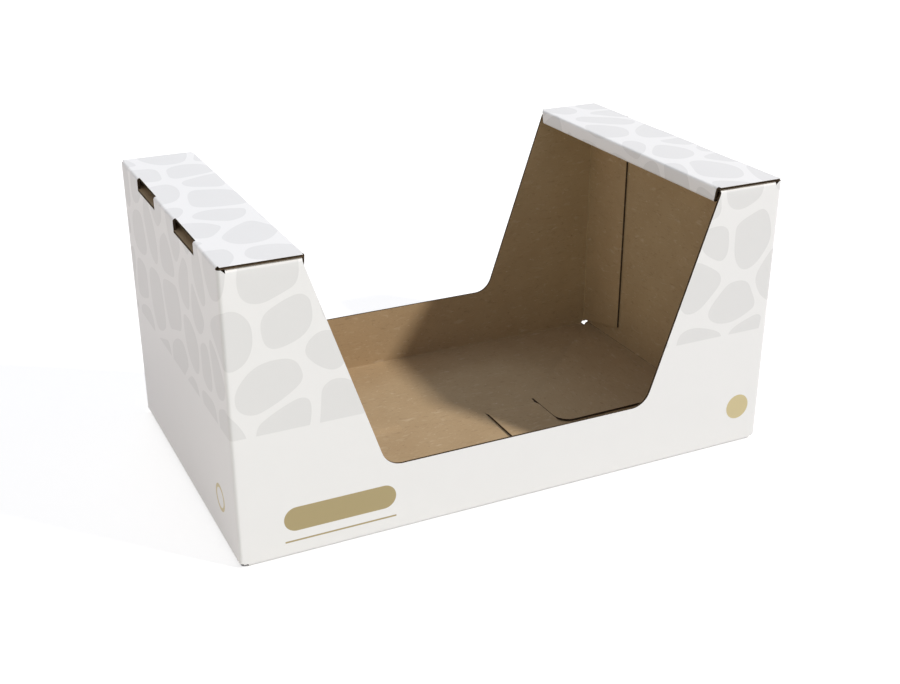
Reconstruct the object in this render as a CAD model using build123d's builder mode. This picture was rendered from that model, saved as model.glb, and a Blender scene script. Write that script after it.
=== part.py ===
import os
from build123d import *

# Corrugated tray, die-cut from one blank, folded, and glued at one corner and across its
# crash-lock bottom. X runs along the length, Y to the back, Z up. The origin is the middle
# of the underside. Sizes are in millimetres.

# Outside of the tray
length = 396.0
width = 240.0
height = 200.0

# Board and folds
board = 1.6
fold_radius = 2.5       # outside of every fold
ply_gap = 0.2           # between boards that lie on each other, filled where they are glued
corner_relief = 3.0     # cut back at each end of a bottom crease

# Front and back cut-outs
cutout_sill = 48.5      # height of the low edge
cutout_half = 97.4      # half the length of the low edge
cutout_lean = 0.338     # how far a side leans out for each millimetre up
cutout_corner = 15.0

# Hollow beam along the top of each end
panel_depth = 53.0      # top panel, from the outside of the end wall
beam_depth = 11.0       # outside height of the beam
beam_end_gap = 0.8      # between the ends of the beam and the long walls
tab_width = 44.0
tab_spacing = 95.0      # between the middles of the two tabs
notch_side = 1.0        # room at each side of a tab
notch_reach = 2.0       # how far a notch is cut into the top panel's fold

# Tuck flaps on the ears, held inside the beams
tuck_depth = 30.0
tuck_taper = 4.0
tuck_corner = 4.0
tuck_gap = 0.7          # to the beam's flange
tuck_relief = 4.5       # to the vertical fold

# Seam at the back right corner
seam_width = 55.5
seam_foot = 6.0         # height of the seam flap at its fold
seam_heel = 17.5        # and at its free edge
seam_top_gap = 1.0      # to the beam above it
seam_setback = 1.0      # of the end wall's edge from the back
seam_glue_inset = 6.0

# Crash-lock bottom, back flap: the front one is the same, turned half round
butt_gap = 0.5          # between the two long flaps on the centre line
hook_near = 34.0        # sides of the hook, from the middle of the tray
hook_far = 77.5
hook_reach = 58.0       # past the centre line
hook_ramp = 9.0         # length over which the hook climbs onto the other flap
hook_corner = 14.0
plain_rake = 12.0       # how far the flap's plain side leans in
plain_shoulder = 60.0
plain_waist_x = 150.0
plain_waist_y = 38.0
crease_foot = 5.0       # inner end of the glue tab's slanted crease
crease_width = 1.6
crease_sink = 0.3
slit_width = 1.4        # between the hook and the glue tab
glue_tab_depth = 34.0
glue_tab_start = 36.0
glue_inset = 5.0

# Right end flap: the left one is the same, turned half round
end_flap_edge = 78.0    # free edge, from the middle of the tray
end_flap_back = 1.5
end_flap_front = 41.5   # front edge at its corner, and where the flare starts
end_flap_front_far = 40.5
end_flap_flare = 160.0
end_flap_corner = 12.0

# What follows from them
half_length = length / 2
half_width = width / 2
long_flat = half_length - fold_radius
short_flat = half_width - fold_radius
upper_ply = board + ply_gap
end_foot = upper_ply + fold_radius
end_top = height - fold_radius
tuck_top = height - upper_ply
ear_top = tuck_top - fold_radius
beam_floor = height - beam_depth
beam_foot = beam_floor + fold_radius
beam_half = half_width - board - beam_end_gap
flange_face = half_length - panel_depth
flange_fold = flange_face + fold_radius
seam_face = half_length - upper_ply
seam_fold = seam_face - fold_radius
seam_edge = half_width - seam_width
seam_top = beam_floor - seam_top_gap
long_hinge = long_flat - corner_relief
end_hinge = short_flat - corner_relief


def fold(centre, first, second, run):
    """Quarter round of board, run long, between two panels whose outsides face first and second."""
    across = Vector(*first).cross(Vector(*second))
    with BuildSketch(Plane(origin=centre, x_dir=first, z_dir=across)) as section:
        with BuildLine():
            outside = CenterArc((0, 0), fold_radius, 0, 90)
            inside = CenterArc((0, 0), fold_radius - board, 0, 90)
            Line(outside @ 0, inside @ 0)
            Line(outside @ 1, inside @ 1)
        make_face()
    extrude(section.sketch, amount=run / 2, both=True)


def cutout_x(z):
    """Half the length of a cut-out at height z."""
    return cutout_half + cutout_lean * (z - cutout_sill)


# Front and back walls: low in the middle, with an ear at each end. The back one stops short
# at the right, where its seam flap turns inside the end wall.
with BuildPart() as long_walls:
    for inner_face, right_end in ((-half_width + board, long_flat), (half_width, seam_fold)):
        with BuildSketch(Plane.XZ.offset(-inner_face)):
            with BuildLine():
                Polyline(
                    (-long_flat, fold_radius),
                    (right_end, fold_radius),
                    (right_end, ear_top),
                    (cutout_x(ear_top), ear_top),
                    (cutout_half, cutout_sill),
                    (-cutout_half, cutout_sill),
                    (-cutout_x(ear_top), ear_top),
                    (-long_flat, ear_top),
                    close=True,
                )
            make_face()
            fillet(vertices().group_by(Axis.Y)[1], radius=cutout_corner)
        extrude(amount=board)

# End walls, each with two notches at the top. The right one covers the seam flap, and its
# edge shows at the back.
with BuildPart() as end_walls:
    for left_face, back_end in ((-half_length, short_flat), (half_length - board, half_width - seam_setback)):
        with BuildSketch(Plane.YZ.offset(left_face)):
            with Locations(((back_end - short_flat) / 2, (end_foot + end_top) / 2)):
                Rectangle(back_end + short_flat, end_top - end_foot)
            with Locations((-tab_spacing / 2, end_top), (tab_spacing / 2, end_top)):
                Rectangle(
                    tab_width + 2 * notch_side,
                    2 * (end_top - beam_floor + ply_gap),
                    mode=Mode.SUBTRACT,
                )
        extrude(amount=board)

# Hollow beam at the right end: top panel, flange and return panel run on from the end wall,
# and two tabs on the return panel lock into the wall's notches
with BuildPart() as beam:
    fold((long_flat, 0, end_top), (1, 0, 0), (0, 0, 1), width)
    with BuildSketch(Plane.XY.offset(end_top)):
        with Locations((half_length, -tab_spacing / 2), (half_length, tab_spacing / 2)):
            Rectangle(2 * notch_reach, tab_width + 2 * notch_side)
    extrude(amount=2 * fold_radius, mode=Mode.SUBTRACT)
    with BuildSketch(Plane.XY.offset(height - board)):
        with Locations(((flange_fold + long_flat) / 2, 0)):
            Rectangle(long_flat - flange_fold, width)
    extrude(amount=board)
    fold((flange_fold, 0, end_top), (-1, 0, 0), (0, 0, 1), 2 * beam_half)
    with BuildSketch(Plane.YZ.offset(flange_face)):
        with Locations((0, (beam_foot + end_top) / 2)):
            Rectangle(2 * beam_half, end_top - beam_foot)
    extrude(amount=board)
    fold((flange_fold, 0, beam_foot), (-1, 0, 0), (0, 0, -1), 2 * beam_half)
    with BuildSketch(Plane.XY.offset(beam_floor)):
        with Locations(((flange_fold + seam_face) / 2, 0)):
            Rectangle(seam_face - flange_fold, 2 * beam_half)
        with Locations(
            ((seam_face + half_length) / 2, -tab_spacing / 2),
            ((seam_face + half_length) / 2, tab_spacing / 2),
        ):
            Rectangle(half_length - seam_face, tab_width)
    extrude(amount=board)

# Tuck flaps of the two right ears, under the top panel
tuck_near = flange_face + board + tuck_gap
tuck_far = long_flat - tuck_relief

with BuildPart() as tucks:
    fold(((tuck_near + tuck_far) / 2, short_flat, ear_top), (0, 1, 0), (0, 0, 1), tuck_far - tuck_near)
    with BuildSketch(Plane.XY.offset(tuck_top - board)):
        with BuildLine():
            Polyline(
                (tuck_near, short_flat),
                (tuck_far, short_flat),
                (tuck_far - tuck_taper, half_width - tuck_depth),
                (tuck_near + tuck_taper, half_width - tuck_depth),
                close=True,
            )
        make_face()
        fillet(vertices().group_by(Axis.Y)[0], radius=tuck_corner)
    extrude(amount=board)
    mirror(about=Plane.XZ)

# Back flap and right end flap of the bottom. The slanted crease makes the glue tab of the
# back flap, which carries the end flap.
slit_far = hook_far + slit_width
crease_lean = (short_flat - crease_foot) / (long_flat - slit_far)


def crease_y(x):
    """Where the slanted crease lies across the tray, at x along it."""
    return crease_foot + crease_lean * (x - slit_far)


with BuildPart() as lock:
    fold((0, short_flat, fold_radius), (0, 1, 0), (0, 0, -1), 2 * long_hinge)
    with BuildSketch():
        with BuildLine():
            Polyline(
                (-long_hinge, short_flat),
                (-long_hinge + plain_rake, plain_shoulder),
                (-plain_waist_x, plain_waist_y),
                (-slit_far, hook_ramp + butt_gap),
                (-hook_near + butt_gap, hook_ramp + butt_gap),
                (-hook_near + butt_gap, butt_gap / 2),
                (hook_far, butt_gap / 2),
                (hook_far, crease_foot),
                (slit_far, crease_foot),
                (slit_far + glue_tab_start, crease_y(slit_far + glue_tab_start) - glue_tab_depth),
                (long_hinge, crease_y(long_hinge) - glue_tab_depth),
                (long_hinge, short_flat),
                close=True,
            )
        make_face()
        with Locations(((hook_far + slit_far) / 2, crease_foot)):
            Circle(slit_width / 2, mode=Mode.SUBTRACT)
    extrude(amount=board)

    # Slanted crease, sunk into the underside
    crease_start = Vector(slit_far, crease_foot, 0)
    crease_way = Vector(1, crease_lean, 0)
    with BuildSketch(Plane(origin=crease_start, x_dir=crease_way.cross(Vector(0, 0, 1)), z_dir=crease_way)):
        with BuildLine():
            Polyline((-crease_width / 2, 0), (crease_width / 2, 0), (0, crease_sink), close=True)
        make_face()
    extrude(amount=(long_hinge - slit_far) * crease_way.length, mode=Mode.SUBTRACT)

    # Hook: it climbs off its own flap and lies on the other one
    with BuildSketch(Plane.YZ.offset(hook_near)):
        with BuildLine():
            Polyline(
                (butt_gap / 2, 0),
                (butt_gap / 2, board),
                (butt_gap / 2 - hook_ramp, upper_ply + board),
                (butt_gap / 2 - hook_ramp, upper_ply),
                close=True,
            )
        make_face()
    extrude(amount=hook_far - hook_near)
    with BuildSketch(Plane.XY.offset(upper_ply)):
        with BuildLine():
            Polyline(
                (hook_near, butt_gap / 2 - hook_ramp),
                (hook_far, butt_gap / 2 - hook_ramp),
                (hook_far, -hook_reach),
                (hook_near, -hook_reach),
                close=True,
            )
        make_face()
        fillet(vertices().group_by(Axis.Y)[0], radius=hook_corner)
    extrude(amount=board)

    # End flap, one board higher
    fold((long_flat, 0, end_foot), (1, 0, 0), (0, 0, -1), 2 * end_hinge)
    with BuildSketch(Plane.XY.offset(upper_ply)):
        with BuildLine():
            Polyline(
                (end_flap_edge, end_flap_back),
                (end_flap_edge, -end_flap_front),
                (end_flap_flare, -end_flap_front_far),
                (long_flat, -end_hinge),
                (long_flat, end_hinge),
                close=True,
            )
        make_face()
        fillet(vertices().group_by(Axis.X)[0].sort_by(Axis.Y)[0], radius=end_flap_corner)
    extrude(amount=board)

    # Glue between the tab and the end flap
    glue_near = slit_far + glue_tab_start + glue_inset
    glue_far = long_hinge - glue_inset
    with BuildSketch(Plane.XY.offset(board)):
        with BuildLine():
            Polyline(
                (glue_near, crease_y(glue_near) - glue_inset),
                (glue_near, crease_y(glue_near) - glue_tab_depth + glue_inset),
                (glue_far, crease_y(glue_far) - glue_tab_depth + glue_inset),
                (glue_far, crease_y(glue_far) - glue_inset),
                close=True,
            )
        make_face()
    extrude(amount=ply_gap)

# The whole sheet
with BuildPart() as tray:
    add(long_walls.part)
    add(end_walls.part)
    for corner_x, corner_y in ((-1, -1), (1, -1), (-1, 1)):
        fold(
            (corner_x * long_flat, corner_y * short_flat, (end_foot + ear_top) / 2),
            (corner_x, 0, 0),
            (0, corner_y, 0),
            ear_top - end_foot,
        )
    with PolarLocations(0, 2):
        add(beam.part)
        add(tucks.part)
        add(lock.part)

    # Seam flap, glued to the inside of the right end wall
    fold((seam_fold, short_flat, (seam_foot + seam_top) / 2), (1, 0, 0), (0, 1, 0), seam_top - seam_foot)
    with BuildSketch(Plane.YZ.offset(seam_face - board)):
        with BuildLine():
            Polyline(
                (short_flat, seam_foot),
                (short_flat, seam_top),
                (seam_edge, seam_top),
                (seam_edge, seam_heel),
                close=True,
            )
        make_face()
    extrude(amount=board)
    with BuildSketch(Plane.YZ.offset(seam_face)):
        with Locations(((seam_edge + short_flat) / 2, (seam_heel + seam_top) / 2)):
            Rectangle(
                short_flat - seam_edge - 2 * seam_glue_inset,
                seam_top - seam_heel - 2 * seam_glue_inset,
            )
    extrude(amount=ply_gap)

tray.part.label = "tray"
os.makedirs("parts", exist_ok=True)
export_step(tray.part, "parts/tray.step")
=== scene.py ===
import math

import bpy
import numpy as np
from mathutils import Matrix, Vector


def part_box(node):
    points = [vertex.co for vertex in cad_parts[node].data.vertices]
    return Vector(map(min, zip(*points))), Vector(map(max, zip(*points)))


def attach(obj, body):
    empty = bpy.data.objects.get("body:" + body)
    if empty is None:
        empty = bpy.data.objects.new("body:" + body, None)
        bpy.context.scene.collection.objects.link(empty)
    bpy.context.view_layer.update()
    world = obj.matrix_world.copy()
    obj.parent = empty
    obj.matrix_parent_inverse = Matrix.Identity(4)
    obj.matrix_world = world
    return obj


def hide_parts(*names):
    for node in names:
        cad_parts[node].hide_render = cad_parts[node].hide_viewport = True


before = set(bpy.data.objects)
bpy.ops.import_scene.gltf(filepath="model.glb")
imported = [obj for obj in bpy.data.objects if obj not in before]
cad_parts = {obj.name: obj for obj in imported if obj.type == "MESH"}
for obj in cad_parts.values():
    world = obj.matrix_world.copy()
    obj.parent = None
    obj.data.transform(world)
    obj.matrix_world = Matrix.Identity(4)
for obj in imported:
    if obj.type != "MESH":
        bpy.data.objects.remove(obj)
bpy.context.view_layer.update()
print("frame loaded:", sorted(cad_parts))

# All sizes in metres. The tray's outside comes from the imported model, the rest says how its
# blank is cut and folded.
halfLength, halfWidth, trayHeight = (round(size, 6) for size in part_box("tray")[1])

board = {
    "thickness": 0.0016,
    "liner": 0.00024,
    "medium": 0.00018,
    "flutePitch": 0.0033,
    "foldRadius": 0.0025,
    "plyGap": 0.0002,      # between boards that lie on each other
    "softCrease": 0.2,     # how strong the painted shade inside a soft fold is
    "sharpCrease": 3,      # and how narrow that painted shade is inside a sharp one
}

# How fine the meshes are, and where smooth shading stops
fineness = {
    "step": 0.012, "rowStep": 0.03, "flutePoints": 8, "fluteRowStep": 0.5,
    "foldSteps": 7, "roundPoints": 9, "smallRoundPoints": 6, "weldPerMetre": 2e5, "sharpAngle": 38,
}

# Front cut-out, and how much narrower and shallower the back one is
cutout = {
    "sill": 0.0485, "half": 0.0975, "lean": 0.338, "corner": 0.015,
    "backInset": 0.0008, "backRise": 0.0003,
}

beam = {
    "panel": 0.053, "depth": 0.011, "endGap": 0.0008, "endTaper": 0.0026,
    "tab": 0.044, "spacing": 0.095, "notchSide": 0.001, "notchReach": 0.002,
    "foldRadius": 0.0018, "returnLift": 0.0022,
}

# Upright folds: where they end above the floor, and the least slope of the ears' corners
upright = {"foot": 0.0033, "leastSlope": 0.03}

tuck = {"depth": 0.030, "taper": 0.004, "leastPart": 0.03, "gap": 0.0007, "relief": 0.0025}

seam = {"width": 0.0555, "foot": 0.0045, "heel": 0.0175, "topGap": 0.001, "setback": 0.001}

longFlap = {
    "relief": 0.003, "butt": 0.00005, "hookNear": 0.034, "hookFar": 0.0775, "hookReach": 0.058,
    "ramp": 0.009, "hookCorner": 0.014, "slit": 0.0008, "creaseFoot": 0.005,
    "tabDepth": 0.034, "tabStart": 0.036, "rake": 0.012, "shoulder": 0.060,
    "waist": (0.150, 0.038), "lip": 0.0006,
}

endFlap = {
    "edge": 0.078, "back": 0.0015, "front": 0.0405, "frontSlant": 0.001, "flare": 0.160,
    "corner": 0.012, "lip": 0.0006,
}

radius = board["foldRadius"]
thick = board["thickness"]
bendLength = radius * math.pi / 2
upperPly = thick + board["plyGap"]
longFlat = halfLength - radius
shortFlat = halfWidth - radius
endFoot = upperPly + radius
endTop = trayHeight - beam["foldRadius"]
earTop = trayHeight - upperPly - radius
beamFloor = trayHeight - beam["depth"]
beamHalf = halfWidth - thick - beam["endGap"]
seamFace = halfLength - upperPly
seamFold = seamFace - radius
seamRun = shortFlat - (halfWidth - seam["width"])
seamTop = beamFloor - seam["topGap"]
longHinge = longFlat - longFlap["relief"]
endHinge = shortFlat - longFlap["relief"]
notchInner = (beam["spacing"] - beam["tab"]) / 2 - beam["notchSide"]
notchOuter = (beam["spacing"] + beam["tab"]) / 2 + beam["notchSide"]
tabInner = notchInner + beam["notchSide"]
tabOuter = notchOuter - beam["notchSide"]
notchFloor = beamFloor + beam["returnLift"] - board["plyGap"]
tuckNear = halfLength - beam["panel"] + thick + tuck["gap"]
tuckFar = longFlat - tuck["relief"]
hookMiddle = (longFlap["hookNear"] + longFlap["hookFar"]) / 2
slitFar = longFlap["hookFar"] + longFlap["slit"]
tabCorner = slitFar + longFlap["tabStart"]
creaseLean = (shortFlat - longFlap["creaseFoot"]) / (longFlat - slitFar)


def bentLine(s, runs, start, heading, radius=radius):
    # a line of straight runs with a quarter bend to the left after each: point and right-hand
    # normal at distance s, and how far into a bend s lies (0 on a run, 1 in a bend's middle)
    bendLength = radius * math.pi / 2
    s = np.asarray(s, float)
    point = np.zeros(s.shape + (2,))
    normal = np.zeros(s.shape + (2,))
    bend = np.zeros(s.shape)
    at = np.array(start, float)
    way = np.array(heading, float)
    passed = 0.0
    for index, run in enumerate(runs):
        right = np.array([way[1], -way[0]])
        onRun = s >= passed - 1e-9
        point[onRun] = at + (s[onRun] - passed)[:, None] * way
        normal[onRun] = right
        bend[onRun] = 0.0
        at = at + run * way
        passed += run
        if index == len(runs) - 1:
            break
        inBend = s > passed + 1e-9
        angle = np.minimum(s[inBend] - passed, bendLength) / radius
        turned = np.cos(angle)[:, None] * right + np.sin(angle)[:, None] * way
        point[inBend] = at - radius * right + radius * turned
        normal[inBend] = turned
        bend[inBend] = np.sin(2 * angle)
        at = at - radius * right + radius * way
        way = -right
        passed += bendLength
    return point, normal, bend


def paintedFoldShade(bend, sharp):
    # painted shade inside a fold: how dark its inside is drawn, faint and wide, or a narrow full
    # line
    return bend ** board["sharpCrease"] if sharp else board["softCrease"] * bend


# The sleeve's plan: seam flap, back, left end, front and right end, anticlockwise from above
sleeveRuns = [
    seamRun,
    seamFold + longFlat,
    2 * shortFlat,
    2 * longFlat,
    shortFlat + halfWidth - seam["setback"],
]
sleeveStarts = np.concatenate([[0], np.cumsum(np.array(sleeveRuns) + bendLength)])[:5]
sleeveStart = (seamFace, halfWidth - seam["width"])

# Each wall by its outside: middle, way along it and outward normal, and its middle's place on
# the blank
walls = {
    "back": {
        "middle": (0, halfWidth), "along": (-1, 0), "out": (0, 1),
        "blank": sleeveStarts[1] + seamFold,
    },
    "left": {
        "middle": (-halfLength, 0), "along": (0, -1), "out": (-1, 0),
        "blank": sleeveStarts[2] + shortFlat,
    },
    "front": {
        "middle": (0, -halfWidth), "along": (1, 0), "out": (0, -1),
        "blank": sleeveStarts[3] + longFlat,
    },
    "right": {
        "middle": (halfLength, 0), "along": (0, 1), "out": (1, 0),
        "blank": sleeveStarts[4] + shortFlat,
    },
}


def filled(breaks, step):
    # sorted values with every break among them, no two further apart than step
    breaks = np.unique(np.round(breaks, 7))
    parts = []
    for low, high in zip(breaks, breaks[1:]):
        count = max(1, math.ceil((high - low) / step - 1e-6))
        parts.append(np.linspace(low, high, count + 1)[:-1])
    return np.concatenate(parts + [breaks[-1:]])


def bothSides(places):
    return [sign * place for sign in (-1, 1) for place in places]


def quarterTurn(points):
    return np.linspace(0, math.pi / 2, points)


def cutoutTop(name, t):
    # height of a long wall's top edge at t from its middle: sill, round corner, slanted side,
    # ear; and where the corner starts, where it ends and where the ear's flat top starts
    half = cutout["half"] - (cutout["backInset"] if name == "back" else 0)
    sill = cutout["sill"] + (cutout["backRise"] if name == "back" else 0)
    x = np.abs(t)
    stretch = math.hypot(1, cutout["lean"])
    centre = half + cutout["lean"] * cutout["corner"] - cutout["corner"] * stretch
    tangent = centre + cutout["corner"] / stretch
    side = sill + (x - half) / cutout["lean"]
    inCorner = np.clip(x - centre, 0, cutout["corner"])
    corner = sill + cutout["corner"] - np.sqrt(cutout["corner"] ** 2 - inCorner ** 2)
    ear = half + cutout["lean"] * (earTop - sill)
    return np.minimum(np.where(x > tangent, side, corner), earTop), centre, tangent, ear


# Where outlines change along each wall, from its middle. The long flaps' own side is turned
# round, so their hook side has the minus sign.
roundPoints = fineness["roundPoints"]
hookRound = longFlap["hookCorner"] * np.sin(quarterTurn(roundPoints))
hookRise = longFlap["hookNear"] + longFlap["hookCorner"]
hookFall = longFlap["hookFar"] - longFlap["hookCorner"]
tuckRound = tuck["taper"] * (1 - np.cos(quarterTurn(fineness["smallRoundPoints"])))
longBreaks = [-longFlat, longFlat, -longHinge, longHinge, -seamFold]
longBreaks += bothSides([tuckFar, tuckFar - tuck["taper"], tuckNear + tuck["taper"], tuckNear])
longBreaks += bothSides(list(tuckNear + tuckRound) + list(tuckFar - tuckRound))
for name in ("front", "back"):
    cornerStart, cornerEnd, ear = cutoutTop(name, np.zeros(1))[1:]
    longBreaks += bothSides([ear] + list(np.linspace(cornerStart, cornerEnd, roundPoints)))
longBreaks += [longHinge - longFlap["rake"], longFlap["waist"][0], slitFar]
longBreaks += [longFlap["hookNear"] - longFlap["butt"]]
longBreaks += [-longFlap["hookNear"], -hookRise, -hookFall, -longFlap["hookFar"]]
longBreaks += [-slitFar, -tabCorner]
longBreaks += list(-hookRise + hookRound) + list(-hookFall - hookRound)

endBreaks = bothSides([halfWidth, shortFlat, beamHalf, endHinge])
endBreaks += bothSides([notchInner, notchOuter, tabInner, tabOuter])
endBreaks += [halfWidth - seam["setback"], -endFlap["front"], endFlap["back"]]
endBreaks += list(-endFlap["front"] + endFlap["corner"] * (1 - np.cos(quarterTurn(roundPoints))))


def wallColumns(name, low, high, step):
    # blank coordinates of the columns on one wall, between two distances from its middle. Where
    # the step is finer than a flute, all columns lie on one regular grid and the breaks.
    breaks = np.array(longBreaks if name in ("front", "back") else endBreaks)
    if step < board["flutePitch"]:
        regular = np.arange(math.floor(low / step), math.ceil(high / step) + 1) * step
        columns = np.unique(np.round(np.concatenate([breaks, regular]), 7))
    else:
        columns = filled(breaks, step)
    columns = columns[(columns >= low - 1e-9) & (columns <= high + 1e-9)]
    return columns + walls[name]["blank"]


def bendRows(start, length=bendLength):
    return list(np.linspace(start, start + length, fineness["foldSteps"] + 1))


def sleeveGrid(step, rowStep):
    # the walls, their upright folds and the seam flap, as distance round the sleeve by height
    columns = [np.linspace(0, seamRun, max(2, round(seamRun / step)) + 1)]
    columns += [bendRows(start + run) for start, run in zip(sleeveStarts[:4], sleeveRuns[:4])]
    columns.append(wallColumns("back", -seamFold, longFlat, step))
    columns.append(wallColumns("left", -shortFlat, shortFlat, step))
    columns.append(wallColumns("front", -longFlat, longFlat, step))
    columns.append(wallColumns("right", -shortFlat, halfWidth - seam["setback"], step))
    a = np.unique(np.round(np.concatenate(columns), 7))
    rows = [upright["foot"], radius, endFoot, seam["foot"], seamTop, notchFloor, earTop, endTop]
    b = filled(rows, rowStep)
    middles = np.array([0] + [walls[name]["blank"] for name in ("back", "left", "front", "right")])

    def leg(a):
        return np.clip(np.searchsorted(sleeveStarts, a + 1e-7, side="right") - 1, 0, 4)

    def inBend(a):
        which = leg(a)
        return a > sleeveStarts[which] + np.array(sleeveRuns)[which]

    def keep(a, b):
        which = leg(a)
        bend = inBend(a)
        t = np.abs(a - middles[which])
        onEnd = ((which == 2) | (which == 4)) & ~bend
        onLong = ((which == 1) | (which == 3)) & ~bend
        toEndTop = bend | (onLong & (t > tuckFar))
        lowest = [seam["foot"], upright["foot"], radius]
        low = np.select([(which == 0) & ~bend, bend, onLong], lowest, endFoot)
        high = np.select([(which == 0), toEndTop, onLong], [seamTop, endTop, earTop], endTop)
        notch = onEnd & (t > notchInner) & (t < notchOuter) & (b > notchFloor)
        return (b > low) & (b < high) & ~notch

    def warp(a, b):
        # rows between foot and top are stretched to the real outline: to the slanted foot of the
        # seam flap, to the cut-out, and to the small fall at the ears' outer corners
        which = leg(a)
        foot = seam["foot"]
        heel = seam["heel"] + (foot - seam["heel"]) * np.clip(a / seamRun, 0, 1)
        onSeam = seamTop - (seamTop - b) * (seamTop - heel) / (seamTop - foot)
        b = np.where((which == 0) & (b >= foot) & (b <= seamTop), onSeam, b)
        for name, number in (("back", 1), ("front", 3)):
            t = a - walls[name]["blank"]
            onWall = (which == number) & ~inBend(a)
            top = cutoutTop(name, t)[0]
            slope = np.clip((np.abs(t) - tuckFar) / (longFlat - tuckFar), upright["leastSlope"], 1)
            b = np.where(onWall & (b > earTop + 1e-7), earTop + (b - earTop) * slope, b)
            toOutline = foot + (b - foot) * (top - foot) / (earTop - foot)
            b = np.where(onWall & (b > foot) & (b < earTop + 1e-7), toOutline, b)
        return b

    def place(a, b, w):
        point, normal, bend = bentLine(a.ravel(), sleeveRuns, sleeveStart, (0, 1))
        flat = point - w.ravel()[:, None] * normal
        return np.column_stack([flat, b.ravel()]), paintedFoldShade(bend, False)

    return {"a": a, "b": b, "keep": keep, "warp": warp, "place": place}


def flapGrid(
    name, low, high, step, crease, way, runs, rows, keep, reach, lift=None, slant=None,
    bendRadius=radius, sharp=False,
):
    # a flap on one wall, as place t along the wall by distance s from its crease: it goes up
    # (way 1) or down (way -1) from the crease and folds inwards by quarter bends between its
    # runs. "reach" stretches s to the outline, "lift" adds height and "slant" moves t.
    wall = walls[name]

    def warp(a, b):
        t = a - wall["blank"]
        return crease + way * reach(t, way * (b - crease))

    def place(a, b, w):
        t = (a - wall["blank"]).ravel()
        s = way * (b.ravel() - crease)
        point, normal, bend = bentLine(s, runs, (0, 0), (0, 1), bendRadius)
        inward = point - w.ravel()[:, None] * normal
        rise = crease + way * inward[:, 1]
        if lift is not None:
            rise = rise + lift(t, s)
        if slant is not None:
            t = slant(t, s)
        along = t[:, None] * np.array(wall["along"])
        xy = np.array(wall["middle"]) + along + inward[:, :1] * np.array(wall["out"])
        return np.column_stack([xy, rise]), paintedFoldShade(bend, sharp)

    def kept(a, b):
        return keep(a - wall["blank"], way * (b - crease))

    a = wallColumns(name, low, high, step)
    b = np.unique(np.round(crease + way * np.asarray(rows), 7))
    return {"a": a, "b": b, "keep": kept, "warp": warp, "place": place}


def beamGrid(name, step, rowStep):
    # top panel, flange and return panel, rolled inwards from the top of an end wall
    bendRadius = beam["foldRadius"]
    length = bendRadius * math.pi / 2
    panelRun = beam["panel"] - 2 * bendRadius
    flangeRun = beam["depth"] - 2 * bendRadius
    returnRun = beam["panel"] - bendRadius
    notchEnd = length + beam["notchReach"] - bendRadius
    panelEnd = length + panelRun
    flangeStart = panelEnd + length
    returnStart = flangeStart + flangeRun + length
    returnEnd = returnStart + returnRun - upperPly
    rows = bendRows(0, length) + [notchEnd] + list(filled([length, panelEnd], rowStep))
    rows += bendRows(panelEnd, length) + [flangeStart, flangeStart + flangeRun]
    rows += bendRows(flangeStart + flangeRun, length)
    rows += list(filled([returnStart, returnEnd], rowStep)) + [returnEnd + upperPly]

    def keep(t, s):
        # the side edge stands back at the outer fold, and from the inner fold on
        t = np.abs(t)
        notch = (t > notchInner) & (t < notchOuter) & (s < notchEnd)
        past = ((s > panelEnd) & (t > beamHalf)) | ((s < length) & (t > shortFlat))
        tab = (s < returnEnd) | ((t > tabInner) & (t < tabOuter))
        return ~notch & ~past & tab

    def lift(t, s):
        return beam["returnLift"] * np.clip((s - returnStart) / returnRun, 0, 1)

    def slant(t, s):
        # the flange's cut ends lean back from the ears
        down = np.clip((s - panelEnd) / (returnStart - panelEnd), 0, 1)
        outer = np.clip((np.abs(t) - notchOuter) / (beamHalf - notchOuter), 0, 1)
        return t - np.sign(t) * beam["endTaper"] * down * outer

    return flapGrid(
        name, -halfWidth, halfWidth, step, endTop, 1, [0, panelRun, flangeRun, returnRun],
        rows, keep, lambda t, s: s, lift=lift, slant=slant, bendRadius=bendRadius,
    )


def tuckGrid(name, side, step):
    # flap on top of an ear, under the top panel, with rounded corners
    rows = bendRows(0) + [bendLength + tuck["depth"] - radius]

    def reach(t, s):
        fromEnd = np.minimum(np.abs(t) - tuckNear, tuckFar - np.abs(t)).clip(0, tuck["taper"])
        corner = np.sqrt(1 - (1 - fromEnd / tuck["taper"]) ** 2)
        part = corner * (1 - tuck["leastPart"]) + tuck["leastPart"]
        return np.where(s > bendLength, bendLength + (s - bendLength) * part, s)

    low, high = (tuckNear, tuckFar) if side > 0 else (-tuckFar, -tuckNear)
    return flapGrid(
        name, low, high, step, earTop, 1, [0, tuck["depth"]], rows,
        lambda t, s: np.ones(t.shape, bool), reach,
    )


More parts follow.
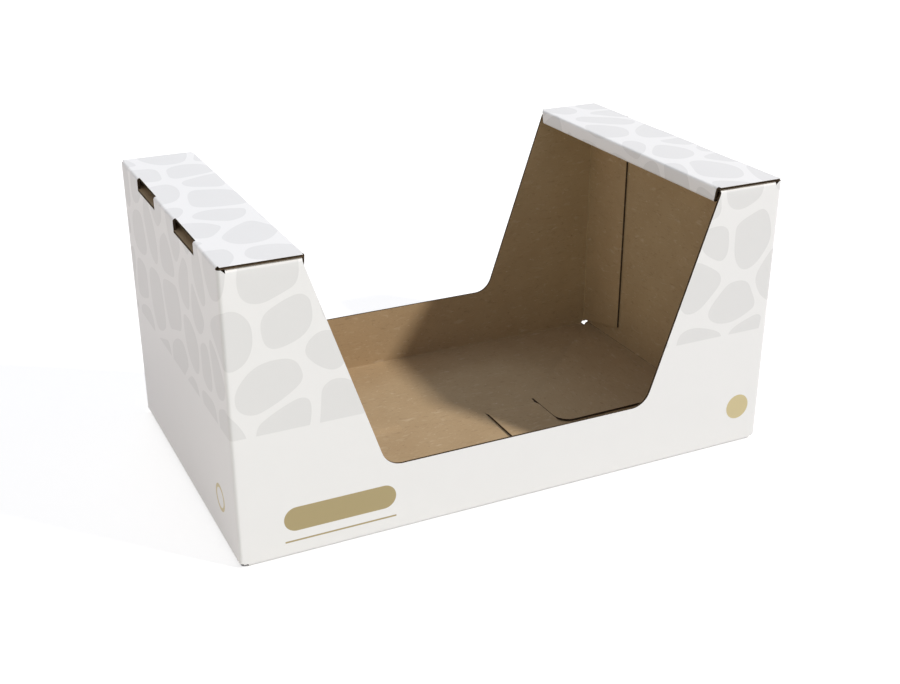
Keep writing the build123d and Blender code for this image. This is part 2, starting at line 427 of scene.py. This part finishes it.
def longFlapGrid(name, step, rowStep):
    # bottom flap of a long wall: plain side, straight middle, hook, slit and glue tab. Depths are
    # counted from the crease, so a line y past the middle of the tray is at lineAt(y).
    def lineAt(y):
        return bendLength + shortFlat - y

    hookCorner = longFlap["hookCorner"]
    foot = longFlap["creaseFoot"]
    edge = lineAt(longFlap["butt"] / 2)
    waist = lineAt(longFlap["ramp"] + longFlap["butt"])
    footLine = lineAt(foot)
    rampEnd = edge + longFlap["ramp"]
    tip = lineAt(-longFlap["hookReach"])
    rows = bendRows(0) + list(filled([bendLength, waist], rowStep)) + [footLine, edge]
    rows += list(np.linspace(edge, rampEnd, roundPoints)) + list(filled([rampEnd, tip], rowStep))
    slitNear = longFlap["hookFar"]
    plainX = [slitFar, longFlap["waist"][0], longHinge - longFlap["rake"], longHinge]
    plainY = [
        longFlap["ramp"] + longFlap["butt"], longFlap["waist"][1], longFlap["shoulder"],
        shortFlat - longFlap["lip"],
    ]
    tabX = [slitFar, tabCorner, longHinge]
    tabY = [foot] + [foot + creaseLean * (x - slitFar) - longFlap["tabDepth"] for x in tabX[1:]]

    def keep(t, s):
        u = -t
        end = np.select(
            [u < -longFlap["hookNear"] + longFlap["butt"], u < longFlap["hookNear"], u < slitNear],
            [waist, edge, tip],
            footLine,
        )
        end = np.where((u > slitNear) & (u < slitFar), edge, end)
        return s < end

    def stretched(s, end, rowEnd):
        return bendLength + (s - bendLength) * (end - bendLength) / (rowEnd - bendLength)

    def reach(t, s):
        u = -t
        onFlat = s > bendLength
        plain = lineAt(np.interp(-u, plainX, plainY))
        tab = lineAt(np.interp(u, tabX, tabY))
        s = np.where(onFlat & (u < -slitFar), stretched(s, plain, waist), s)
        s = np.where(onFlat & (u > slitFar), stretched(s, tab, footLine), s)
        hookHalf = slitNear - hookMiddle
        inside = np.clip(np.abs(u - hookMiddle) - (hookHalf - hookCorner), 0, hookCorner)
        rounded = tip - hookCorner + np.sqrt(hookCorner ** 2 - inside ** 2)
        onHook = (s > rampEnd) & (np.abs(u - hookMiddle) <= hookHalf + 1e-6)
        return np.where(onHook, rampEnd + (s - rampEnd) * (rounded - rampEnd) / (tip - rampEnd), s)

    def lift(t, s):
        # the hook climbs over the other long flap by a smooth step
        part = np.clip((s - edge) / longFlap["ramp"], 0, 1)
        return upperPly * part * part * (3 - 2 * part)

    runs = [0, tip - bendLength]
    return flapGrid(name, -longHinge, longHinge, step, radius, -1, runs, rows, keep, reach, lift)


def endFlapGrid(name, step, rowStep):
    # bottom flap of an end wall, one board higher: flared front, round corner, slanted back
    front, corner = endFlap["front"], endFlap["corner"]
    flare = bendLength + longFlat - endFlap["flare"]
    tip = bendLength + longFlat - endFlap["edge"]
    lip = bendLength + endFlap["lip"]
    rows = bendRows(0) + list(filled([bendLength, flare, tip], rowStep))

    def keep(t, s):
        return (s < flare) | (t > -front)

    def stretched(s, start, end, rowEnd):
        return start + (s - start) * (end - start) / (rowEnd - start)

    def reach(t, s):
        frontEnd = np.interp(t, [-endHinge, -front], [lip, flare])
        backEnd = np.interp(t, [endFlap["back"], endHinge], [tip, lip])
        inside = np.clip(corner - front - t, 0, corner)
        rounded = tip - corner + np.sqrt(corner ** 2 - inside ** 2)
        onFront = (t < -front) & (s > bendLength) & (s <= flare + 1e-7)
        inCorner = (t >= -front - 1e-7) & (t < endFlap["back"]) & (s > flare)
        onBack = (t > endFlap["back"]) & (s > bendLength)
        s = np.where(onFront, stretched(s, bendLength, frontEnd, flare), s)
        s = np.where(inCorner, stretched(s, flare, rounded, tip), s)
        return np.where(onBack, stretched(s, bendLength, backEnd, tip), s)

    def slant(t, s):
        outward = np.clip((s - flare) / (tip - flare), 0, 1) * np.clip(-t / front, 0, 1)
        return t - endFlap["frontSlant"] * outward

    runs = [0, tip - bendLength]
    return flapGrid(
        name, -endHinge, endHinge, step, endFoot, -1, runs, rows, keep, reach,
        slant=slant, sharp=True,
    )


def boardSheet(name, grids, outer, inner, sideMaterials):
    # one closed layer of the board: every grid's faces at depth outer(a) and again at inner(a)
    # below the printed side, joined along every cut edge
    outerPoints, innerPoints, blank, foldShades, quads = [], [], [], [], []
    count = 0
    for grid in grids:
        a, b = np.meshgrid(grid["a"], grid["b"], indexing="ij")
        bentB = grid["warp"](a, b)
        low, bend = grid["place"](a, bentB, outer(a))
        high = grid["place"](a, bentB, inner(a))[0]
        middleA = (a[1:, 1:] + a[:-1, :-1]) / 2
        middleB = (b[1:, 1:] + b[:-1, :-1]) / 2
        kept = grid["keep"](middleA, middleB)
        number = np.arange(a.size).reshape(a.shape) + count
        corners = [number[:-1, :-1], number[1:, :-1], number[1:, 1:], number[:-1, 1:]]
        quads.append(np.stack(corners, axis=-1)[kept])
        outerPoints.append(low)
        innerPoints.append(high)
        blank.append(np.column_stack([a.ravel(), bentB.ravel()]))
        foldShades.append(bend)
        count += a.size
    low, high = np.concatenate(outerPoints), np.concatenate(innerPoints)
    blank, foldShades, quads = np.concatenate(blank), np.concatenate(foldShades), np.concatenate(quads)

    # points that lie on each other become one, and points of no face go
    key = np.round(np.column_stack([low, high]) * fineness["weldPerMetre"]).astype(np.int64)
    first, same = np.unique(key, axis=0, return_index=True, return_inverse=True)[1:]
    quads = same.ravel()[quads]
    used, quads = np.unique(quads, return_inverse=True)
    quads = quads.reshape(-1, 4)
    pick = first[used]
    low, high, blank, foldShades = low[pick], high[pick], blank[pick], foldShades[pick]

    # an edge of one face only is a cut edge, and gets a rim
    size = len(low)
    edges = np.stack([quads, np.roll(quads, -1, axis=1)], axis=-1).reshape(-1, 2)
    code = np.sort(edges, axis=1) @ np.array([size, 1])
    which, times = np.unique(code, return_inverse=True, return_counts=True)[1:]
    free = edges[times[which.ravel()] == 1]
    rims = np.column_stack([free[:, 1], free[:, 0], free[:, 0] + size, free[:, 1] + size])
    faces = np.concatenate([quads, quads[:, ::-1] + size, rims])

    mesh = bpy.data.meshes.new(name)
    mesh.vertices.add(2 * size)
    mesh.vertices.foreach_set("co", np.concatenate([low, high]).ravel())
    mesh.loops.add(faces.size)
    mesh.loops.foreach_set("vertex_index", faces.ravel())
    mesh.polygons.add(len(faces))
    mesh.polygons.foreach_set("loop_start", np.arange(len(faces)) * 4)
    layer = np.repeat([0, 1, 2], [len(quads), len(quads), len(rims)])
    mesh.polygons.foreach_set("material_index", np.array(sideMaterials)[layer])
    uv = mesh.uv_layers.new(name="blank")
    uv.data.foreach_set("uv", np.concatenate([blank, blank])[faces.ravel()].ravel())
    # the painted shade inside the folds goes with the points, as the bend attribute
    mark = mesh.attributes.new("bend", "FLOAT", "POINT")
    mark.data.foreach_set("value", np.concatenate([foldShades, foldShades]))
    mesh.update(calc_edges=True)
    mesh.validate()
    mesh.polygons.foreach_set("use_smooth", np.ones(len(mesh.polygons), bool))
    mesh.set_sharp_from_angle(angle=math.radians(fineness["sharpAngle"]))
    piece = bpy.data.objects.new(name, mesh)
    bpy.context.scene.collection.objects.link(piece)
    print(name, "faces", len(faces))
    return piece


def allGrids(step, rowStep):
    sleeve = [sleeveGrid(step, rowStep)]
    sleeve += [tuckGrid(name, side, step) for name in ("back", "front") for side in (1, -1)]
    beams = [beamGrid(name, step, rowStep) for name in ("left", "right")]
    bottom = [longFlapGrid(name, step, rowStep) for name in ("back", "front")]
    bottom += [endFlapGrid(name, step, rowStep) for name in ("left", "right")]
    return sleeve, beams, bottom


def depthOf(value):
    return lambda a: np.full(a.shape, value)


def wave(offset):
    # the medium is a sine between the liners
    swing = thick / 2 - board["liner"] - board["medium"] / 2

    def depth(a):
        return thick / 2 + swing * np.sin(2 * math.pi * a / board["flutePitch"]) + offset

    return depth


# Helpers for shader nodes


def newMaterial(name):
    material = bpy.data.materials.new(name)
    material.use_nodes = True
    return material, material.node_tree, material.node_tree.nodes["Principled BSDF"]


def setInput(tree, socket, value):
    # a plain value, or a link from another node's output
    if isinstance(value, bpy.types.NodeSocket):
        tree.links.new(value, socket)
    else:
        socket.default_value = value


def addNode(tree, kind, inputs, **settings):
    node = tree.nodes.new(kind)
    for key, value in settings.items():
        setattr(node, key, value)
    for key, value in dict(inputs).items():
        setInput(tree, node.inputs[key], value)
    return node


def mathNode(tree, operation, *values):
    return addNode(tree, "ShaderNodeMath", enumerate(values), operation=operation).outputs[0]


def vectorNode(tree, operation, *values):
    return addNode(tree, "ShaderNodeVectorMath", enumerate(values), operation=operation).outputs[0]


def mapped(tree, value, toRange=(0.0, 1.0), fromRange=(0.0, 1.0)):
    # a value carried from one range to another, and kept inside it
    return addNode(tree, "ShaderNodeMapRange", {
        "Value": value, "From Min": fromRange[0], "From Max": fromRange[1],
        "To Min": toRange[0], "To Max": toRange[1],
    }).outputs[0]


def mixColour(tree, factor, first, second, blend="MIX"):
    inputs = {0: factor, 6: first, 7: second}
    return addNode(tree, "ShaderNodeMix", inputs, data_type="RGBA", blend_type=blend).outputs[2]


def toned(tree, colour, tone):
    # a colour times a grey tone
    grey = addNode(tree, "ShaderNodeCombineColor", {0: tone, 1: tone, 2: tone}).outputs[0]
    return mixColour(tree, 1.0, colour, grey, "MULTIPLY")


def addBump(tree, shader, height, strength, distance):
    inputs = {"Height": height, "Strength": strength, "Distance": distance}
    tree.links.new(addNode(tree, "ShaderNodeBump", inputs).outputs[0], shader.inputs["Normal"])


def newGroup(name, inputs, outputs):
    # inputs with their default number, or None for a vector; every output is a number
    group = bpy.data.node_groups.new(name, "ShaderNodeTree")
    for label, default in inputs.items():
        kind = "NodeSocketVector" if default is None else "NodeSocketFloat"
        socket = group.interface.new_socket(label, in_out="INPUT", socket_type=kind)
        if default is not None:
            socket.default_value = default
    for label in outputs:
        group.interface.new_socket(label, in_out="OUTPUT", socket_type="NodeSocketFloat")
    return group, group.nodes.new("NodeGroupInput"), group.nodes.new("NodeGroupOutput")


def placeGroup(tree, group, inputs):
    return addNode(tree, "ShaderNodeGroup", inputs, node_tree=group)


# Clouds and tooth: scale for each metre, detail and roughness of their noise. Fibres: scale and
# limit, above which the noise shows. Each kind has fine fibres and fainter ones of nearly three
# times their size: share of the scale, change of the limit and gain.
grain = {
    "Cloud": (34.0, 3.0, 0.55),
    "Tooth": (1100.0, 2.0, 0.6),
    "Dark": (380.0, 0.665),
    "Pale": (300.0, 0.675),
    "fibres": ((1.0, 0.0, 11.0), (0.36, -0.05, 4.5)),
    "twist": 0.8,
    "aside": (0.37, 0.21, 0.5),    # moves the pale fibres off the dark ones
}


def paperGrain():
    # paper: wide clouds, fine tooth, and short dark and pale fibres that lie along the sheet
    inputs = {"Blank": None, "Stretch": 4.0, "Fleck": 0.5}
    group, given, out = newGroup("paperGrain", inputs, ["Cloud", "Tooth", "Dark", "Pale"])
    blank = given.outputs["Blank"]
    squeeze = addNode(group, "ShaderNodeCombineXYZ", {0: 1.0, 1: given.outputs["Stretch"], 2: 1.0})
    along = vectorNode(group, "MULTIPLY", blank, squeeze.outputs[0])
    aside = vectorNode(group, "ADD", along, grain["aside"])
    for label in ("Cloud", "Tooth"):
        scale, detail, roughness = grain[label]
        noise = {"Vector": blank, "Scale": scale, "Detail": detail, "Roughness": roughness}
        output = addNode(group, "ShaderNodeTexNoise", noise).outputs["Fac"]
        group.links.new(output, out.inputs[label])
    for label, place in (("Dark", along), ("Pale", aside)):
        scale, limit = grain[label]
        fibres = []
        for size, change, gain in grain["fibres"]:
            noise = {"Vector": place, "Scale": scale * size, "Detail": 1.0}
            noise["Distortion"] = grain["twist"]
            fibre = addNode(group, "ShaderNodeTexNoise", noise).outputs["Fac"]
            past = mathNode(group, "SUBTRACT", fibre, limit + change)
            fibres.append(mathNode(group, "MULTIPLY", past, gain))
        most = mathNode(group, "MAXIMUM", *fibres)
        strength = mathNode(group, "MULTIPLY", most, given.outputs["Fleck"])
        limited = addNode(group, "ShaderNodeClamp", {"Value": strength})
        group.links.new(limited.outputs[0], out.inputs[label])
    return group


def roundedMark(soft=0.0001):
    # 1 inside a rounded rectangle, 0 outside: the distance past its inner corner points, less
    # the corner's radius
    inputs = {"Place": None, "Middle": None, "Half": None, "Corner": 0.001}
    group, given, out = newGroup("roundedMark", inputs, ["Inside"])
    radius = given.outputs["Corner"]
    local = vectorNode(group, "SUBTRACT", given.outputs["Place"], given.outputs["Middle"])
    size = vectorNode(group, "ABSOLUTE", local)
    past = vectorNode(group, "SUBTRACT", size, given.outputs["Half"])
    corner = addNode(group, "ShaderNodeCombineXYZ", {0: radius, 1: radius, 2: 0.0})
    grown = vectorNode(group, "ADD", past, corner.outputs[0])
    outside = vectorNode(group, "MAXIMUM", grown, (0, 0, 0))
    flat = vectorNode(group, "MULTIPLY", outside, (1, 1, 0))
    distance = addNode(group, "ShaderNodeVectorMath", {0: flat}, operation="LENGTH")
    inside = mathNode(group, "SUBTRACT", radius, distance.outputs["Value"])
    group.links.new(mapped(group, inside, fromRange=(-soft, soft)), out.inputs["Inside"])
    return group


grainGroup = paperGrain()
markGroup = roundedMark()

printed = {
    "white": (0.824, 0.820, 0.808, 1),
    "grey": (0.737, 0.734, 0.723, 1),
    "gold": (0.40, 0.325, 0.17, 1),
    "paleGold": (0.60, 0.51, 0.29, 1),
    "patternFoot": 0.090,
    "cell": 0.037,             # the pebbles' size, how irregular they are and the line between
    "irregular": 0.72,
    "line": 0.065,
    "blend": 1.0,
    "bendScale": 9.0,          # the slow noise that bends them
    "bendReach": 0.03,
    "softLine": 0.002,
    "softFoot": 0.0002,
    "clouds": (0.990, 1.010),
    "stretch": 3.0,
    "roughness": (0.41, 0.53),
    "shine": 0.28,
    "washboard": 0.12,         # the flutes that print through
    "bump": (0.12, 0.00006),   # strength and distance
}

# Plain marks: wall, place right of its middle, height, half width, half height, colour
marks = [
    ("front", -0.130, 0.0265, 0.038, 0.0085, "gold"),
    ("front", -0.130, 0.0110, 0.038, 0.0006, "gold"),
    ("front", 0.179, 0.0300, 0.0095, 0.0095, "paleGold"),
    ("left", 0.085, 0.0330, 0.0095, 0.0095, "paleGold"),
    ("left", 0.085, 0.0330, 0.0070, 0.0070, "white"),
]

kraft = {
    "lit": (0.442, 0.318, 0.182, 1),
    "deep": (0.410, 0.290, 0.162, 1),
    "fleck": (0.25, 0.165, 0.085, 1),
    "pale": (0.60, 0.48, 0.33, 1),
    "edge": (0.075, 0.050, 0.028, 1),
    "medium": (0.105, 0.072, 0.040, 1),
    "crease": 0.66,            # tone of a sharp fold's inside, a painted shade
    "clouds": (0.30, 0.70),
    "toothRange": (0.25, 0.75),
    "toothTone": (0.965, 1.035),
    "stretch": 2.8,
    "roughness": 0.86,
    "shine": 0.25,
    "cloudHeight": 0.6,
    "bumpDistance": 0.00008,
}

# Kraft papers: pale and dark tone, strength of the fibres and of the bump
papers = {
    "kraftLiner": ("lit", "deep", 0.5, 0.35),
    "cutEdge": ("edge", "edge", 0.2, 0.5),
    "fluteMedium": ("medium", "edge", 0.2, 0.4),
}


def printedLiner():
    material, tree, shader = newMaterial("printedLiner")
    blank = addNode(tree, "ShaderNodeUVMap", {}, uv_map="blank").outputs[0]
    parts = addNode(tree, "ShaderNodeSeparateXYZ", {0: blank})

    # rounded cells with pale lines between them, bent by a slow noise
    slow = {"Vector": blank, "Scale": printed["bendScale"], "Detail": 1.0}
    bendNoise = addNode(tree, "ShaderNodeTexNoise", slow, noise_dimensions="2D").outputs["Color"]
    centred = vectorNode(tree, "SUBTRACT", bendNoise, (0.5, 0.5, 0.5))
    bendReach = (printed["bendReach"], printed["bendReach"], 0.0)
    shifted = vectorNode(tree, "MULTIPLY_ADD", centred, bendReach, blank)
    cells = {"Vector": shifted, "Scale": 1 / printed["cell"], "Randomness": printed["irregular"]}
    softCells = dict(cells, Smoothness=printed["blend"])
    flat = {"voronoi_dimensions": "2D"}
    sharp = addNode(tree, "ShaderNodeTexVoronoi", cells, feature="F1", **flat)
    smooth = addNode(tree, "ShaderNodeTexVoronoi", softCells, feature="SMOOTH_F1", **flat)
    gap = mathNode(tree, "SUBTRACT", sharp.outputs["Distance"], smooth.outputs["Distance"])
    line, softLine = printed["line"], printed["softLine"]
    inCell = mapped(tree, gap, fromRange=(line + softLine, line - softLine))
    foot, softFoot = printed["patternFoot"], printed["softFoot"]
    above = mapped(tree, parts.outputs[1], fromRange=(foot - softFoot, foot + softFoot))
    pattern = mathNode(tree, "MULTIPLY", inCell, above)
    colour = mixColour(tree, pattern, printed["white"], printed["grey"])

    for wall, along, height, halfWide, halfHigh, ink in marks:
        mark = placeGroup(tree, markGroup, {
            "Place": blank, "Middle": (walls[wall]["blank"] + along, height, 0),
            "Half": (halfWide, halfHigh, 1), "Corner": halfHigh,
        })
        colour = mixColour(tree, mark.outputs[0], colour, printed[ink])

    inputs = {"Blank": blank, "Stretch": printed["stretch"], "Fleck": 0.0}
    paper = placeGroup(tree, grainGroup, inputs)
    colour = toned(tree, colour, mapped(tree, paper.outputs["Cloud"], printed["clouds"]))
    tree.links.new(colour, shader.inputs["Base Color"])
    rough = mapped(tree, paper.outputs["Tooth"], printed["roughness"])
    tree.links.new(rough, shader.inputs["Roughness"])
    shader.inputs["Specular IOR Level"].default_value = printed["shine"]
    turn = mathNode(tree, "MULTIPLY", parts.outputs[0], 2 * math.pi / board["flutePitch"])
    washboard = mathNode(tree, "MULTIPLY", mathNode(tree, "SINE", turn), printed["washboard"])
    height = mathNode(tree, "ADD", washboard, paper.outputs["Tooth"])
    addBump(tree, shader, height, *printed["bump"])
    return material


def kraftPaper(name, light, dark, flecks, bumpStrength):
    material, tree, shader = newMaterial(name)
    blank = addNode(tree, "ShaderNodeUVMap", {}, uv_map="blank").outputs[0]
    inputs = {"Blank": blank, "Stretch": kraft["stretch"], "Fleck": flecks}
    paper = placeGroup(tree, grainGroup, inputs)
    cloud = mapped(tree, paper.outputs["Cloud"], fromRange=kraft["clouds"])
    colour = mixColour(tree, cloud, kraft[dark], kraft[light])
    tooth = mapped(tree, paper.outputs["Tooth"], kraft["toothTone"], kraft["toothRange"])
    # painted shade: the kraft is drawn darker inside the folds, as the bend attribute says
    foldShadeAmount = addNode(tree, "ShaderNodeAttribute", {}, attribute_name="bend").outputs["Fac"]
    foldShadeTone = mapped(tree, foldShadeAmount, (1.0, kraft["crease"]))
    colour = toned(tree, colour, mathNode(tree, "MULTIPLY", tooth, foldShadeTone))
    colour = mixColour(tree, paper.outputs["Dark"], colour, kraft["fleck"])
    colour = mixColour(tree, paper.outputs["Pale"], colour, kraft["pale"])
    tree.links.new(colour, shader.inputs["Base Color"])
    shader.inputs["Roughness"].default_value = kraft["roughness"]
    shader.inputs["Specular IOR Level"].default_value = kraft["shine"]
    clouds = mathNode(tree, "MULTIPLY", paper.outputs["Cloud"], kraft["cloudHeight"])
    height = mathNode(tree, "ADD", paper.outputs["Tooth"], clouds)
    addBump(tree, shader, height, bumpStrength, kraft["bumpDistance"])
    return material


whiteLiner = printedLiner()
kraftLiner, cutEdge, fluteMedium = (kraftPaper(name, *values) for name, values in papers.items())
print("materials made")

# Pieces: the two liners, each with its own face and its cut edges, and the medium between them
sleeve, beams, bottom = allGrids(fineness["step"], fineness["rowStep"])
every = sleeve + beams + bottom
liner = board["liner"]
pieces = []
for name, depths, sides, face in (
    ("printedOutside", (0.0, liner), (0, 1, 1), whiteLiner),
    ("kraftInside", (thick - liner, thick), (1, 0, 1), kraftLiner),
):
    piece = boardSheet(name, every, depthOf(depths[0]), depthOf(depths[1]), sides)
    piece.data.materials.append(face)
    piece.data.materials.append(cutEdge)
    pieces.append(piece)

half = board["medium"] / 2
fluteGrids = allGrids(board["flutePitch"] / fineness["flutePoints"], fineness["fluteRowStep"])
for name, grids in zip(("sleeveFlutes", "beamFlutes", "bottomFlutes"), fluteGrids):
    flutes = boardSheet(name, grids, wave(-half), wave(half), (0, 0, 0))
    flutes.data.materials.append(fluteMedium)
    pieces.append(flutes)

for piece in pieces:
    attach(piece, "root")
    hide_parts("tray")
print("pieces made:", len(pieces))

# Floor, light and camera. "cover" is how far inside the tray's outline the floor stops glowing, so
# that a painted contact shadow shows along the tray's foot.
stage = {
    "floor": (0.50, 0.50, 0.50, 1), "floorGlow": 0.71, "glowTint": (1.0, 0.99, 0.975, 1),
    "cover": (0.0018, 0.0024), "reach": 6.0, "world": 0.46, "sky": (0.83, 0.87, 1.0, 1),
    "lookAt": (0, 0, 0.08),
}

# Each lamp: the way to it, its distance, width and height, power, colour, and whether it mirrors
# in the tray, which the fill behind it doesn't, because it would show in the top panels
lamps = {
    "keyLamp": ((0.706, -0.732, 1.0), 8.0, (0.63, 0.63), 528.0, (1.0, 0.955, 0.91), True),
    "leftLamp": ((-1.0, 0.0, 0.1), 2.4, (3.2, 0.5), 7.0, (1.0, 0.62, 0.44), True),
    "leftFrontLamp": ((-1.0, -1.0, 0.2), 2.4, (1.6, 1.0), 9.6, (0.95, 1.0, 0.78), True),
    "backLamp": ((0.0, 1.0, 1.0), 2.4, (1.6, 1.0), 7.0, (0.68, 0.84, 1.0), True),
    "backFill": ((0.0, 1.0, 0.12), 2.4, (0.7, 0.4), 14.0, (1.0, 0.94, 0.85), False),
}


def directlySeen(tree):
    # 1 for the rays that show the background: from the camera, mirrored or through glass
    path = addNode(tree, "ShaderNodeLightPath", {}).outputs
    seen = mathNode(tree, "MAXIMUM", path["Is Camera Ray"], path["Is Glossy Ray"])
    return mathNode(tree, "MAXIMUM", seen, path["Is Transmission Ray"])


floorMesh = bpy.data.meshes.new("floor")
reach = stage["reach"]
corners = [(-reach, -reach, 0), (reach, -reach, 0), (reach, reach, 0), (-reach, reach, 0)]
floorMesh.from_pydata(corners, [], [(0, 1, 2, 3)])
floor = bpy.data.objects.new("floor", floorMesh)
bpy.context.scene.collection.objects.link(floor)
floorMaterial, tree, shader = newMaterial("floorPaper")
shader.inputs["Base Color"].default_value = stage["floor"]
shader.inputs["Roughness"].default_value = 1.0
shader.inputs["Specular IOR Level"].default_value = 0.0
shader.inputs["Emission Color"].default_value = stage["glowTint"]
# the floor glows for the camera, but not under the tray, so that its slits stay dark and a painted
# shadow shows under the tray's edges
place = addNode(tree, "ShaderNodeTexCoord", {}).outputs["Object"]
coverHalf = (halfLength - stage["cover"][0], halfWidth - stage["cover"][1], 1)
paintedShadowMask = placeGroup(tree, markGroup, {"Place": place, "Half": coverHalf, "Corner": radius})
glowCutForShadow = mathNode(tree, "MULTIPLY", paintedShadowMask.outputs[0], stage["floorGlow"])
glow = mathNode(tree, "SUBTRACT", stage["floorGlow"], glowCutForShadow)
glowSeen = mathNode(tree, "MULTIPLY", directlySeen(tree), glow)
tree.links.new(glowSeen, shader.inputs["Emission Strength"])
floorMesh.materials.append(floorMaterial)

world = bpy.data.worlds.new("studio")
bpy.context.scene.world = world
world.use_nodes = True
tree = world.node_tree
background = tree.nodes["Background"]
seen = directlySeen(tree)
tree.links.new(mapped(tree, seen, (stage["world"], 1.0)), background.inputs["Strength"])
tree.links.new(mixColour(tree, seen, stage["sky"], (1, 1, 1, 1)), background.inputs["Color"])


def addLamp(name, way, distance, size, power, colour, mirrors):
    lamp = bpy.data.lights.new(name, "AREA")
    lamp.color = colour
    lamp.shape = "ELLIPSE"
    lamp.size, lamp.size_y = size
    lamp.energy = power
    holder = bpy.data.objects.new(name, lamp)
    holder.visible_camera = False
    holder.visible_glossy = mirrors
    bpy.context.scene.collection.objects.link(holder)
    direction = Vector(way).normalized()
    holder.location = Vector(stage["lookAt"]) + distance * direction
    holder.rotation_euler = direction.to_track_quat("Z", "Y").to_euler()


for name, settings in lamps.items():
    addLamp(name, *settings)

view = {
    "azimuth": -25.764, "elevation": 24.168, "distance": 0.93926,
    "target": (0.00453, 0.0, 0.06703), "lens": 50.723, "sensor": 36.0,
}
cameraData = bpy.data.cameras.new("camera")
cameraData.lens = view["lens"]
cameraData.sensor_width = view["sensor"]
camera = bpy.data.objects.new("camera", cameraData)
bpy.context.scene.collection.objects.link(camera)
azimuth, elevation = math.radians(view["azimuth"]), math.radians(view["elevation"])
level = math.cos(elevation)
back = Vector((math.sin(azimuth) * level, -math.cos(azimuth) * level, math.sin(elevation)))
camera.location = Vector(view["target"]) + view["distance"] * back
camera.rotation_euler = back.to_track_quat("Z", "Y").to_euler()
bpy.context.scene.camera = camera
bpy.context.scene.view_settings.view_transform = "Standard"
print("stage and camera set")
